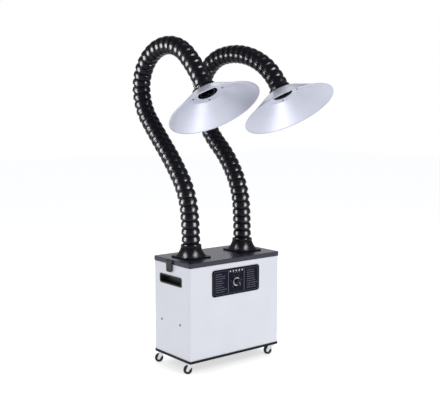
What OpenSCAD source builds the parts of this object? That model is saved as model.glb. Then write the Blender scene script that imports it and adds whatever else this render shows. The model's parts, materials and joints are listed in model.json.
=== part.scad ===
// Two-arm solder fume extractor: a filter cabinet on casters with a lift-off lid, and two
// ball-jointed suction arms that end in spun aluminium hoods.
// Millimetres. The origin is on the floor under the cabinet's centre, +Z up, the front towards -Y.

/* [Cabinet] */
// Width across the cabinet's walls
cab_w = 425; // [390:1:510]
// Depth across the cabinet's walls
cab_d = 225; // [220:1:270]
// Height from the base's underside to the lid's top
cab_h = 367; // [350:1:440]
// Thickness of the sheet metal
sheet = 1.5; // [1:0.1:2]
// Outside radius of the bent corners
corner_r = 5; // [3:0.5:8]
// Height of the base tray's rim
base_rim = 9; // [6:0.5:14]
// Height of the lid's skirt
lid_skirt = 17; // [12:0.5:24]
// Thickness of the lid's top
lid_t = 2.5; // [2:0.1:4]
// Thickness of the lid's skirt
skirt_t = 2; // [1.5:0.1:3]
// Bevel round the lid's top edge
lid_bevel = 1.5; // [0.5:0.1:2]
// Thickness of the foam seal under the lid
seal_t = 3; // [2:0.1:5]
// Width of the inward flange that the lid's seal sits on
top_flange = 12; // [9:0.5:16]
// Width of the wall's returns round the rear corners
rear_return = 16; // [13:0.5:22]

/* [Controls and fittings] */
// Width of the control panel
panel_w = 226; // [190:1:260]
// Height of the control panel
panel_h = 99; // [84:1:112]
// Thickness of the control panel
panel_t = 2; // [1.2:0.1:3]
// Corner radius of the control panel
panel_r = 11; // [3:0.5:14]
// Depth of the panel's centre below the lid's top
panel_drop = 87; // [82:1:100]
// Depth of the knob's centre below the lid's top
knob_drop = 90; // [80:1:100]
// Diameter of the knob's bright ring
knob_d = 31; // [26:0.5:40]
// Height of the knob above the panel
knob_h = 15; // [10:0.5:22]
// Diameter of the dial's shaft
dial_shaft_d = 6; // [5:0.1:8]
// Width of the handle pockets
handle_w = 134; // [110:1:150]
// Height of the handle pockets
handle_h = 30; // [26:0.5:40]
// Depth of the handle pockets
handle_deep = 27; // [20:0.5:30]
// Depth of the handles' centre below the lid's top
handle_drop = 77; // [70:1:95]
// Distance of the side fittings' centre behind the cabinet's centre
side_fit_y = 7; // [0:0.5:12]
// Width of the latch tabs
latch_w = 33; // [24:0.5:44]
// Height of the latch tabs
latch_h = 43; // [34:0.5:56]
// Thickness of the latch tabs
latch_t = 4.5; // [3:0.1:7]
// Diameter of the latches' hinge pins
latch_pin_d = 3; // [2:0.1:4]
// Spacing of the two shelf screws on each side
shelf_screw_gap = 117; // [90:1:150]
// Height of the shelf screws above the base's underside
shelf_rise = 132; // [128:1:160]

/* [Filters and blower] */
// Width of the filter stack
filter_w = 350; // [290:1:354]
// Depth of the filter stack
filter_d = 166; // [130:1:172]
// Height of the main filter
main_h = 110; // [80:1:115]
// Height of the middle filter
mid_h = 40; // [25:1:45]
// Thickness of the pre-filter pad
pre_h = 15; // [10:1:20]
// Number of pleats across the main filter
main_pleats = 28; // [16:1:36]
// Diameter of the blower wheel
wheel_d = 116; // [90:1:118]
// Height of the blower wheel
wheel_h = 52; // [40:1:56]
// Number of blades on the blower wheel
blade_n = 24; // [12:1:32]
// Height of the blower's scroll housing
scroll_h = 78; // [70:1:82]
// Growth of the scroll's radius at each quarter turn
scroll_step = 14; // [10:0.5:15]
// Diameter of the motor
motor_d = 82; // [60:1:96]
// Diameter of the motor's shaft
motor_shaft_d = 8; // [6:0.1:10]

/* [Casters] */
// Height of the casters, floor to the base's underside
caster_h = 43; // [40:0.5:60]
// Diameter of the caster wheels
caster_wheel_d = 32; // [28:0.5:34]
// Width of the caster wheels
caster_wheel_w = 15; // [10:0.5:18]
// Distance from a caster's swivel axis back to its wheel axle
caster_trail = 12; // [10:0.5:20]
// Inset of the swivel axes from the cabinet's side walls
caster_inset_x = 18; // [17:0.5:40]
// Inset of the swivel axes from the cabinet's front and back
caster_inset_y = 20; // [17:0.5:40]
// Side of the caster's square top plate
caster_plate = 34; // [30:0.5:44]
// Turn of every caster about its swivel axis, as it stands
caster_turn = 50; // [0:5:180]
// Diameter of the casters' swivel rivets
kingpin_d = 8; // [6:0.5:10]
// Diameter of the caster axles
axle_d = 5; // [4:0.5:6]

/* [Arms] */
// Distance of each arm from the cabinet's middle
arm_x = 124; // [110:1:140]
// Outside diameter of the arm's beads
bead_d = 70; // [58:0.5:84]
// Distance between two ball centres along the arm
pitch = 28; // [25:0.5:34]
// Wall of a bead's socket
socket_wall = 3; // [2.5:0.1:4]
// Running clearance between a ball and its socket
ball_clear = 0.3; // [0.2:0.05:0.5]
// How far a socket's lip reaches below its ball's centre
lip_drop = 5; // [4.6:0.1:6]
// How far a ball's neck lies below its centre
neck_drop = 12; // [11:0.1:13]
// Diameter of the air duct through the arm
duct_d = 51; // [40:0.5:54]
// Left arm's bends from the lid to the hood: beads in the run, degrees back at each ball
left_runs = [[5, 1.34], [5, 5.62], [5, 1.59], [5, -0.46], [4, -8.08], [7, -10.26], [7, -9.91], [5, -2.91]];
// Right arm's bends from the lid to the hood
right_runs = [[5, 0.69], [5, 5.1], [5, 3.81], [5, -4.05], [4, -9.09], [7, -10.21], [7, -5.31], [5, -6.19]];
// Turn of both arms about their flanges, to the left at the back
arm_swing = 5.4; // [-10:0.1:10]
// Side of the square foot of an arm's flange
foot_w = 110; // [96:1:124]
// Thickness of the flange's foot
foot_t = 5; // [4:0.5:8]
// Height of the flange above the lid
flange_h = 47; // [44:0.5:60]
// Spacing of the four screws under each flange
foot_screw_gap = 88; // [80:1:96]

/* [Hoods] */
// Diameter of a hood's rim
hood_d = 345; // [300:1:360]
// Diameter of the flat ring inside a hood
hood_flat_d = 142; // [136:1:170]
// Depth of a hood's cone
hood_deep = 67; // [50:0.5:80]
// Thickness of a hood's sheet
hood_t = 1.5; // [1:0.1:2.5]
// Radius of the rolled bead at a hood's rim
hem_r = 2; // [1.5:0.1:3]
// Diameter of a hood's intake hole
intake_d = 75; // [66:0.5:80]
// Distance from the last ball's centre to the hood
collar_len = 49; // [48:0.5:64]
// Outside diameter of the collar's sleeve at the hood
collar_d = 77; // [74:0.5:90]
// Diameter of the collar's foot on the hood
collar_foot_d = 126; // [118:1:132]
// Pitch circle of the hood screws
hood_screw_pcd = 112; // [104:1:118]
// Diameter of a damper's spindle
spindle_d = 5; // [4:0.5:6]
// Thickness of a damper's disc
damper_t = 2; // [1.5:0.1:3]
// Length of a damper's lever
lever_len = 20; // [14:0.5:28]
// Turn of the right collar about its arm, so that its lever points back
right_collar_turn = 90; // [0:5:180]

/* [Fits] */
// Gap beside a piece that drops into a cut-out
fit = 0.3; // [0.2:0.05:0.5]
// Radial clearance of a shaft in its bore
run = 0.05; // [0.02:0.01:0.1]
// Gap on each side of a soft piece
soft = 0.3; // [0.3:0.05:0.6]
// Diameter of the machine screws
screw_d = 4; // [3:0.5:5]
// Diameter of the screws' heads
head_d = 8; // [7:0.5:10]
// Height of the screws' heads
head_h = 2.4; // [1.6:0.1:3]

/* [Hidden] */
$fn = 96;
SECTIONS = 7;
// Name, side along X and side along Y of each caster
CASTERS = [["front_left", -1, -1], ["front_right", 1, -1], ["rear_left", -1, 1], ["rear_right", 1, 1]];

// Colours
white_paint = "#e9ebf0";
black_paint = "#26272b";
black_plastic = "#1c1c1f";
panel_blue = "#1b1f2d";
zinc = "#b9bcc2";
aluminium = "#c9cad2";
filter_white = "#f0eee6";
pcb_green = "#2c6b45";

// Heights that the pieces share
base_z = caster_h;
floor_z = base_z + sheet;
lid_top = base_z + cab_h;
lid_under = lid_top - lid_t;
wall_top = lid_under - seal_t - 2 * soft;
wall_in_x = cab_w / 2 - sheet;
wall_in_y = cab_d / 2 - sheet;
front_y = -cab_d / 2;
shelf_screw_z = base_z + shelf_rise;
shelf_flange = 16;
shelf_top = shelf_screw_z + shelf_flange / 2;
shelf_under = shelf_top - sheet;
hole_gap = 0.15;
screw_hole_d = screw_d + 2 * hole_gap;
cut = 1;

// Rear panel lies against the inside of the rear returns
rear_in_y = wall_in_y - sheet;
rear_h = wall_top - sheet - fit - floor_z;
rear_screw_x = cab_w / 2 - rear_return / 2 - sheet / 2;

// Filter stack lies between the handle pockets, behind the control board
filter_y = rear_in_y - fit - filter_d / 2;
filter_frame = 8;
mid_z = shelf_top + main_h;
pre_z = mid_z + mid_h + soft;

// Blower hangs under the shelf
wheel_gap = 8;
scroll_r = wheel_d / 2 + wheel_gap;
scroll_wall = 2;
scroll_tongue = 22;
scroll_y = -wall_in_y + fit + scroll_r + 3 * scroll_step + 3;
scroll_top = shelf_under;
scroll_base = scroll_top - scroll_h;
inlet_d = wheel_d * 0.78;
outlet_x0 = scroll_r;
outlet_x1 = scroll_r + 4 * scroll_step;
wheel_z = scroll_base + scroll_wall + 8;
motor_h = scroll_base - floor_z - 6;

// Control panel and its dial
panel_z = lid_top - panel_drop;
knob_z = lid_top - knob_drop;
panel_face = front_y - panel_t;
pot_body = 17;
pot_deep = 10;
bushing_d = 9;
ring_h = 3;
board_w = 90;
board_h = 60;
board_t = 1.6;
pot_back = -wall_in_y + pot_deep;

// Handle pockets
handle_z = lid_top - handle_drop;
cup_wall = 2;
cup_flange = 3;
cup_flange_t = 1;
cup_r = 5;

// Lid and latches
lid_gap = 0.4;
lid_w = cab_w + 2 * (lid_gap + skirt_t);
lid_d = cab_d + 2 * (lid_gap + skirt_t);
barrel_r = latch_pin_d / 2 + 2.3;
latch_x = lid_w / 2 + fit + barrel_r;
latch_z = lid_top - barrel_r - 2.5;
ear_t = 3;
latch_pad = latch_x - latch_t / 2 - cab_w / 2 - fit;

// Casters
caster_x = cab_w / 2 - caster_inset_x;
caster_y = cab_d / 2 - caster_inset_y;
caster_plate_t = 2.5;
race_gap = 0.4;
crown_t = 4;
crown_r = 15;
crown_top = base_z - caster_plate_t - race_gap;
crown_under = crown_top - crown_t;
leg_t = 2;
leg_gap = 1;
leg_in = caster_wheel_w / 2 + leg_gap;
wheel_axle_z = caster_wheel_d / 2;
rivet_head_t = 2;

// Arm beads: the socket, the ball and the neck between them
ro = bead_d / 2;
rs = ro - socket_wall;
rb = rs - ball_clear;
duct_r = duct_d / 2;
shoulder = 12;
mouth = 4;
socket_rise = 12.5;
r_shoulder = sqrt(ro * ro - shoulder * shoulder);
r_neck = sqrt(rb * rb - neck_drop * neck_drop);
arm_z = lid_top + flange_h - 11;

// Hood, measured from the last ball's centre along the arm
hood_r = hood_d / 2;
flat_r = hood_flat_d / 2;
foot_flange_t = 4;
sleeve_z = 22;
sleeve_r = collar_d / 2;
tube_wall = 2;
damper_z = duct_r + 3;
spindle_end = duct_r + tube_wall;
lever_reach = 12;
left_bends = [for (r = left_runs) for (k = [1:r[0]]) r[1]];
right_bends = [for (r = right_runs) for (k = [1:r[0]]) r[1]];

// Lean of every bead, back from upright, and the ball centres that follow from it
function leans(b) = [for (i = 0, a = b[0]; i < len(b); i = i + 1, a = a + (i < len(b) ? b[i] : 0)) a];
function balls(a) = [for (i = 0, y = 0, z = arm_z; i < len(a);
    y = y + pitch * sin(a[i]), z = z + pitch * cos(a[i]), i = i + 1) [y, z]];
beads_per_section = (len(left_bends) - 1) / SECTIONS;
left_leans = leans(left_bends);
right_leans = leans(right_bends);
left_balls = balls(left_leans);
right_balls = balls(right_leans);

// Rectangle with round corners, centred
module rounded(w, d, r) {
    square([w - 2 * r, d], center = true);
    square([w, d - 2 * r], center = true);
    for (x = [-1, 1], y = [-1, 1])
        translate([x * (w / 2 - r), y * (d / 2 - r)]) circle(r);
}

// Flat plate that stands across Y, from y0 towards +Y
module across_y(y0, t) {
    translate([0, y0 + t, 0]) rotate([90, 0, 0]) linear_extrude(t) children();
}

// Children on both sides of the cabinet, mirrored
module both_sides() {
    children();
    mirror([1, 0, 0]) children();
}

// Pan-head screw: the head's seat at z = 0, the shank down
module screw(len) {
    translate([0, 0, -len]) cylinder(d = screw_d, h = len + head_h / 2);
    rotate_extrude() intersection() {
        square([head_d / 2, head_h]);
        translate([0, head_h - head_d]) circle(head_d);
    }
}

// Places a piece at bead i of an arm, its axis along the arm
module at_ball(x, b, a, i) {
    translate([x, 0, 0]) rotate([0, 0, arm_swing]) translate([0, b[i][0], b[i][1]]) rotate([-a[i], 0, 0])
        children();
}
module at_left_hood() {
    at_ball(-arm_x, left_balls, left_leans, len(left_leans) - 1) children();
}
module at_right_hood() {
    at_ball(arm_x, right_balls, right_leans, len(right_leans) - 1)
        rotate([0, 0, right_collar_turn]) children();
}

// Cabinet

module cabinet_shell() color(white_paint) difference() {
    union() {
        translate([0, 0, floor_z]) linear_extrude(wall_top - floor_z) difference() {
            rounded(cab_w, cab_d, corner_r);
            rounded(cab_w - 2 * sheet, cab_d - 2 * sheet, corner_r - sheet);
            translate([0, cab_d / 2]) square([cab_w - 2 * rear_return, 4 * sheet], center = true);
        }
        translate([0, 0, wall_top - sheet]) linear_extrude(sheet) difference() {
            rounded(cab_w, cab_d, corner_r);
            rounded(cab_w - 2 * top_flange, cab_d - 2 * top_flange, corner_r);
        }
    }
    both_sides() {
        translate([-cab_w / 2 + 2 * sheet, side_fit_y, handle_z]) rotate([0, -90, 0])
            linear_extrude(4 * sheet) rounded(handle_h + 2 * fit, handle_w + 2 * fit, cup_r + fit);
        shelf_screw_places() cylinder(d = screw_hole_d, h = 6 * sheet, center = true);
    }
    rear_screw_places() cylinder(d = screw_hole_d, h = 6 * sheet, center = true);
    translate([0, front_y, knob_z]) rotate([90, 0, 0])
        cylinder(d = bushing_d + 2 * fit, h = 6 * sheet, center = true);
}

// The two shelf screws of the left side, their axes out of the wall
module shelf_screw_places() {
    for (s = [-1, 1])
        translate([-cab_w / 2, side_fit_y + s * shelf_screw_gap / 2, shelf_screw_z])
            rotate([0, -90, 0]) children();
}

// The screws down both rear returns, their axes out of the wall
module rear_screw_places() {
    for (x = [-1, 1], z = [0.08, 0.5, 0.92])
        translate([x * rear_screw_x, cab_d / 2, floor_z + z * rear_h]) rotate([-90, 0, 0]) children();
}

// Rear panel with the exhaust slots in front of the blower's outlet
inlet_x = -cab_w / 2 + 75;
inlet_z = base_z + 62;
inlet_w = 27;
inlet_h = 20;
slot_w = 5;
slot_pitch = 9;
slot_margin = 6;
module rear_panel() color(white_paint) difference() {
    translate([0, 0, floor_z + rear_h / 2]) across_y(rear_in_y, sheet)
        square([cab_w - 2 * corner_r - 2 * fit, rear_h], center = true);
    translate([0, 0, scroll_base + scroll_h / 2]) across_y(rear_in_y - cut, sheet + 2 * cut)
        for (x = [outlet_x0 + slot_margin:slot_pitch:outlet_x1 - slot_margin]) slot(x);
    translate([inlet_x, 0, inlet_z]) across_y(rear_in_y - cut, sheet + 2 * cut)
        square([inlet_w + 2 * fit, inlet_h + 2 * fit], center = true);
    rear_screw_places() cylinder(d = screw_hole_d, h = 6 * sheet, center = true);
}
module slot(x) {
    slot_l = scroll_h - 2 * scroll_wall - 2 * slot_margin - slot_w;
    translate([x, 0]) {
        square([slot_w, slot_l], center = true);
        for (s = [-1, 1]) translate([0, s * slot_l / 2]) circle(d = slot_w);
    }
}

// Tray under the cabinet: its rim stands outside the walls
module base_plate() color(black_paint) difference() {
    tray_w = cab_w + 2 * (fit + sheet);
    tray_d = cab_d + 2 * (fit + sheet);
    translate([0, 0, base_z]) linear_extrude(base_rim) rounded(tray_w, tray_d, corner_r + fit + sheet);
    translate([0, 0, floor_z]) linear_extrude(base_rim)
        rounded(cab_w + 2 * fit, cab_d + 2 * fit, corner_r + fit);
}

// Pockets for carrying: a flange on the wall round a hollow for the fingers
module handle_cups() color(black_plastic) both_sides() handle_cup();
module handle_cup() translate([-cab_w / 2, side_fit_y, handle_z]) rotate([0, 90, 0]) difference() {
    union() {
        linear_extrude(handle_deep) rounded(handle_h, handle_w, cup_r);
        translate([0, 0, -cup_flange_t]) linear_extrude(cup_flange_t)
            rounded(handle_h + 2 * cup_flange, handle_w + 2 * cup_flange, cup_r + cup_flange);
    }
    translate([0, 0, -2 * cup_flange_t]) linear_extrude(handle_deep + 2 * cup_flange_t - cup_wall)
        rounded(handle_h - 2 * cup_wall, handle_w - 2 * cup_wall, cup_r - cup_wall);
}

// Front panel and its dial

module control_panel() color(panel_blue) difference() {
    translate([0, 0, panel_z]) across_y(panel_face, panel_t) rounded(panel_w, panel_h, panel_r);
    translate([0, front_y, knob_z]) rotate([90, 0, 0])
        cylinder(d = bushing_d + 2 * fit, h = 6 * panel_t, center = true);
}

// Circuit board behind the front wall, hung on the dial's bushing
module control_board() color(pcb_green) {
    difference() {
        translate([0, 0, knob_z]) across_y(pot_back, board_t) square([board_w, board_h], center = true);
        translate([0, pot_back, knob_z]) rotate([90, 0, 0])
            cylinder(d = dial_shaft_d + 2 * fit, h = 4 * board_t, center = true);
    }
    difference() {
        union() {
            translate([0, 0, knob_z]) across_y(-wall_in_y, pot_deep) rounded(pot_body, pot_body, 2);
            translate([0, pot_back, knob_z]) rotate([90, 0, 0])
                cylinder(d = bushing_d, h = pot_back - panel_face);
        }
        dial_bore(dial_shaft_d + 2 * run, pot_back + cut, panel_face - cut);
    }
}
// Round rod on the dial's axis between two places along Y
module dial_bore(d, y_back, y_front) {
    translate([0, y_back, knob_z]) rotate([90, 0, 0]) cylinder(d = d, h = y_back - y_front);
}
module dial_shaft() color(zinc) dial_bore(dial_shaft_d, pot_back - 1, panel_face - knob_h + 4);

// Knob: a skirted cap with a pointer groove, turned inside a bright ring
knob_gap = 0.6;
pointer_w = 1.6;
module speed_knob() color(black_plastic) difference() {
    translate([0, panel_face - knob_gap, knob_z]) rotate([90, 0, 0]) difference() {
        rotate_extrude() difference() {
            union() {
                square([knob_d / 2 - 3, knob_h - 2]);
                square([knob_d / 2 - 5, knob_h]);
                translate([knob_d / 2 - 5, knob_h - 2]) circle(2);
            }
            translate([0, -cut]) square([bushing_d / 2 + 0.7, 2 + cut]);
        }
        for (k = [0:17]) rotate([0, 0, k * 20]) translate([knob_d / 2 - 2.4, 0, ring_h + 1])
            cylinder(d = 1.6, h = knob_h);
        rotate([0, 0, -45]) translate([knob_d / 4, 0, knob_h])
            cube([knob_d / 2 - 4, pointer_w, 1], center = true);
    }
    dial_bore(dial_shaft_d + 2 * run, panel_face, panel_face - knob_h + 3.5);
}
module knob_ring() color(zinc) translate([0, panel_face - knob_gap, knob_z]) rotate([90, 0, 0])
    rotate_extrude() translate([knob_d / 2 - 3 + run, 0]) {
        square([3 - run, ring_h - 1]);
        square([2 - run, ring_h]);
        translate([2 - run, ring_h - 1]) circle(1);
    }

// Mains inlet: a flanged socket with three blades
inlet_flange_w = 48;
inlet_flange_h = 27;
inlet_flange_t = 2;
inlet_deep = 18;
module power_inlet() color(black_plastic) translate([inlet_x, 0, inlet_z]) {
    y0 = rear_in_y + sheet;
    difference() {
        union() {
            across_y(y0, inlet_flange_t) rounded(inlet_flange_w, inlet_flange_h, 3);
            across_y(y0 - inlet_deep, inlet_deep + inlet_flange_t / 2)
                square([inlet_w, inlet_h], center = true);
        }
        across_y(y0 - inlet_deep + 3, inlet_deep + inlet_flange_t) difference() {
            square([inlet_w - 3, inlet_h - 3], center = true);
            for (s = [-1, 1]) translate([s * (inlet_w - 3) / 2, (inlet_h - 3) / 2]) rotate(45)
                square(6, center = true);
        }
        for (s = [-1, 1]) translate([s * 20, y0, 0]) rotate([90, 0, 0])
            cylinder(d = 3.2, h = 6, center = true);
    }
    for (p = [[-6, -2], [0, 2], [6, -2]]) translate([p[0], y0 - inlet_deep + 9, p[1]])
        cube([2, 14, 4], center = true);
}

// Filters

// Shelf across the cabinet with side flanges that take the visible screws
module filter_shelf() color(zinc) difference() {
    shelf_w = 2 * (wall_in_x - fit);
    shelf_d = wall_in_y + rear_in_y - 2 * fit;
    shelf_y = (rear_in_y - wall_in_y) / 2;
    union() {
        translate([0, shelf_y, shelf_under]) linear_extrude(sheet) rounded(shelf_w, shelf_d, corner_r);
        for (s = [-1, 1]) translate([s * (shelf_w - sheet) / 2, shelf_y, shelf_top - shelf_flange / 2])
            cube([sheet, shelf_d - 2 * corner_r, shelf_flange], center = true);
    }
    translate([0, scroll_y, shelf_under - cut]) cylinder(d = inlet_d, h = sheet + 2 * cut);
    both_sides() shelf_screw_places() cylinder(d = screw_hole_d, h = 12 * sheet, center = true);
}

// Frame of a filter cassette, from z up, open top and bottom
module cassette(z, h) {
    translate([0, filter_y, z]) linear_extrude(h) difference() {
        rounded(filter_w, filter_d, 3);
        square([filter_w - 2 * filter_frame, filter_d - 2 * filter_frame], center = true);
    }
}
// Pleated paper: one folded strip across the cassette
module pleats(z, h, n, paper) {
    span = filter_w - 2 * filter_frame + 2;
    step = span / (2 * n);
    top = [for (i = [0:2 * n]) [i * step - span / 2, i % 2 == 0 ? h : paper]];
    low = [for (i = [2 * n:-1:0]) [i * step - span / 2, i % 2 == 0 ? h - paper : 0]];
    translate([0, filter_y + filter_d / 2 - filter_frame + 1, z]) rotate([90, 0, 0])
        linear_extrude(filter_d - 2 * filter_frame + 2) polygon(concat(top, low));
}
module main_filter() color(filter_white) {
    cassette(shelf_top, main_h);
    pleats(shelf_top + 8, main_h - 14, main_pleats, 8);
}
module middle_filter() color(filter_white) {
    cassette(mid_z, mid_h);
    pleats(mid_z + 6, mid_h - 10, main_pleats, 4);
}
module pre_filter() color(filter_white) translate([0, filter_y, pre_z]) linear_extrude(pre_h)
    rounded(filter_w - 4, filter_d - 4, 10);

// Blower

// Scroll outline from four quarter arcs, each with its own centre and a larger radius
module scroll(r) {
    centres = [[0, 0], [0, -scroll_step], [scroll_step, -scroll_step], [scroll_step, 0]];
    far = 4 * r;
    for (k = [0:3]) translate(centres[k]) intersection() {
        circle(r + k * scroll_step);
        rotate(90 * k) square(far);
    }
    square(2 * scroll_step, center = true);
}
// Straight outlet from the scroll's widest place to the rear panel
module outlet(wall, y0, y1) {
    translate([outlet_x0 + wall, y0]) square([outlet_x1 - outlet_x0 - 2 * wall, y1 - y0]);
}
module blower_housing() color(zinc) translate([0, scroll_y, scroll_base]) difference() {
    reach = rear_in_y - scroll_y - fit;
    linear_extrude(scroll_h) {
        scroll(scroll_r);
        outlet(0, -scroll_step, reach);
        translate([scroll_r / 2, 0]) square([scroll_r / 2 + scroll_wall, scroll_tongue]);
    }
    translate([0, 0, scroll_wall]) linear_extrude(scroll_h - 2 * scroll_wall) {
        scroll(scroll_r - scroll_wall);
        outlet(scroll_wall, -scroll_step - cut, reach + cut);
    }
    translate([0, 0, scroll_h - 2 * scroll_wall]) cylinder(d = inlet_d, h = 4 * scroll_wall);
    translate([0, 0, -cut]) cylinder(d = motor_shaft_d + 8, h = scroll_wall + 2 * cut);
}

// Motor under the scroll, with a flange and cooling ribs
module blower_motor() color(black_paint) translate([0, scroll_y, scroll_base - motor_h]) difference() {
    union() {
        rotate_extrude() {
            square([motor_d / 2 - 3, motor_h]);
            translate([0, 3]) square([motor_d / 2, motor_h - 8]);
            translate([0, motor_h - 3]) square([motor_d / 2 + 5, 3]);
        }
        cylinder(d = motor_shaft_d + 7, h = motor_h + scroll_wall + 2);
    }
    translate([0, 0, motor_h / 3]) cylinder(d = motor_shaft_d + 2 * run, h = motor_h);
    for (k = [0:15]) rotate([0, 0, k * 22.5]) translate([motor_d / 2, 0, 7])
        cylinder(d = 5, h = motor_h - 16);
}
module motor_shaft() color(zinc) translate([0, scroll_y, scroll_base - motor_h * 2 / 3 + 1])
    cylinder(d = motor_shaft_d, h = motor_h * 2 / 3 + 40);

// Forward-curved wheel: back plate, hub, blades and a top ring
plate_t = 2;
hub_d = 26;
hub_h = 24;
blade_t = 1.2;
blade_len = 16;
blade_curve_r = 14;
module blower_impeller() color(black_plastic) translate([0, scroll_y, wheel_z]) difference() {
    union() {
        cylinder(d = wheel_d, h = plate_t);
        cylinder(d = hub_d, h = hub_h);
        translate([0, 0, wheel_h - plate_t]) linear_extrude(plate_t) difference() {
            circle(d = wheel_d);
            circle(r = wheel_d / 2 - blade_len);
        }
        for (k = [0:blade_n - 1]) rotate([0, 0, k * 360 / blade_n]) linear_extrude(wheel_h - plate_t / 2)
            blade();
    }
    translate([0, 0, -cut]) cylinder(d = motor_shaft_d + 2 * run, h = hub_h + 2 * cut);
}
module blade() intersection() {
    difference() {
        translate([wheel_d / 2 - blade_len / 2, blade_curve_r]) circle(blade_curve_r);
        translate([wheel_d / 2 - blade_len / 2, blade_curve_r]) circle(blade_curve_r - blade_t);
    }
    difference() {
        circle(d = wheel_d - 1);
        circle(r = wheel_d / 2 - blade_len + 1);
    }
    translate([0, -wheel_d / 2]) square([wheel_d, wheel_d / 2 + blade_curve_r]);
}

module cabinet_screws() color(zinc) {
    both_sides() shelf_screw_places() screw(4 * sheet);
    rear_screw_places() screw(4 * sheet);
}

// Casters

// Places a piece at a caster's swivel axis, on the floor
module at_caster(c) {
    translate([c[1] * caster_x, c[2] * caster_y, 0]) children();
}
module at_turned_caster(c) {
    at_caster(c) rotate([0, 0, caster_turn]) children();
}
module caster_plates() color(zinc) for (c = CASTERS) at_caster(c) {
    translate([0, 0, base_z - caster_plate_t]) linear_extrude(caster_plate_t)
        rounded(caster_plate, caster_plate, 4);
    translate([0, 0, crown_under - rivet_head_t - race_gap])
        cylinder(d = kingpin_d, h = base_z - caster_plate_t / 2 - crown_under + rivet_head_t + race_gap);
    translate([0, 0, crown_under - rivet_head_t - race_gap])
        cylinder(d = kingpin_d + 5, h = rivet_head_t);
}
module caster_fork(c) color(zinc) at_turned_caster(c) {
    difference() {
        union() {
            translate([0, 0, crown_under]) cylinder(r = crown_r, h = crown_t);
            for (s = [-1, 1]) translate([s * (leg_in + leg_t / 2) - leg_t / 2, 0, 0]) fork_leg();
        }
        translate([0, 0, crown_under - cut]) cylinder(d = kingpin_d + 2 * run, h = crown_t + 2 * cut);
        axle_rod(axle_d + 2 * run, 2 * leg_in + 4 * leg_t);
    }
    axle_rod(axle_d, 2 * leg_in + 2 * leg_t + 1);
}
// Side of a fork: from the crown back to a round end about the axle
module fork_leg() rotate([90, 0, 90]) linear_extrude(leg_t) {
    leg_r = axle_d / 2 + 3;
    half = sqrt(crown_r * crown_r - (leg_in + leg_t) * (leg_in + leg_t)) - 1;
    translate([caster_trail, wheel_axle_z]) circle(leg_r);
    polygon([[-half, crown_top], [half, crown_top], [half, crown_under], [caster_trail + leg_r, wheel_axle_z],
        [caster_trail - leg_r, wheel_axle_z], [-half, crown_under]]);
}
module axle_rod(d, len) {
    translate([0, caster_trail, wheel_axle_z]) rotate([0, 90, 0]) cylinder(d = d, h = len, center = true);
}
// Wheel with a rounded tread, dished sides and a hub that nearly meets the fork
module caster_wheel(c) color(black_plastic) at_turned_caster(c)
    translate([0, caster_trail, wheel_axle_z]) rotate([0, 90, 0]) rotate_extrude() difference() {
        edge = 3;
        r = caster_wheel_d / 2;
        w = caster_wheel_w / 2;
        union() {
            translate([0, -w]) square([r - edge, 2 * w]);
            translate([0, -w + edge]) square([r, 2 * (w - edge)]);
            for (s = [-1, 1]) translate([r - edge, s * (w - edge)]) circle(edge);
            translate([0, -w - leg_gap + fit]) square([axle_d / 2 + 2.5, 2 * (w + leg_gap - fit)]);
        }
        for (s = [0, 1]) mirror([0, s]) translate([axle_d / 2 + 4, w - 1.5])
            square([r - edge - axle_d / 2 - 5.5, 3]);
        translate([0, -2 * w]) square([axle_d / 2 + run, 4 * w]);
    }

// Lid

module top_lid() color(black_paint) {
    difference() {
        intersection() {
            translate([0, 0, lid_top - lid_skirt]) linear_extrude(lid_skirt)
                rounded(lid_w, lid_d, corner_r + lid_gap + skirt_t);
            translate([0, lid_d, 0]) rotate([90, 0, 0]) linear_extrude(2 * lid_d) bevelled(lid_w);
            translate([-lid_w, 0, 0]) rotate([90, 0, 90]) linear_extrude(2 * lid_w) bevelled(lid_d);
        }
        translate([0, 0, lid_top - lid_skirt - cut]) linear_extrude(lid_skirt - lid_t + cut)
            rounded(cab_w + 2 * lid_gap, cab_d + 2 * lid_gap, corner_r + lid_gap);
        both_sides() translate([-arm_x, 0, lid_under - cut]) {
            cylinder(d = duct_d, h = lid_t + 2 * cut);
            foot_screw_places() cylinder(d = screw_hole_d, h = lid_t + 2 * cut);
        }
    }
    both_sides() latch_ears();
}
// Lid's side view with its bevelled top corners
module bevelled(w) polygon([[-w / 2, 0], [w / 2, 0], [w / 2, lid_top - lid_bevel],
    [w / 2 - lid_bevel, lid_top], [-w / 2 + lid_bevel, lid_top], [-w / 2, lid_top - lid_bevel]]);

// Ears on the left skirt that carry the latch's pin
module latch_ears() for (s = [-1, 1])
    translate([0, side_fit_y + s * (latch_w / 2 + fit + ear_t / 2), latch_z]) rotate([90, 0, 0])
        linear_extrude(ear_t, center = true) difference() {
            union() {
                translate([-latch_x, 0]) circle(barrel_r);
                translate([-latch_x, -barrel_r]) square([latch_x - lid_w / 2 + skirt_t / 2, 2 * barrel_r]);
            }
            translate([-latch_x, 0]) circle(latch_pin_d / 2 + run);
        }
module latch_pins() color(zinc) both_sides() translate([-latch_x, side_fit_y, latch_z]) rotate([90, 0, 0])
    cylinder(d = latch_pin_d, h = latch_w + 2 * (fit + ear_t), center = true);

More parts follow.
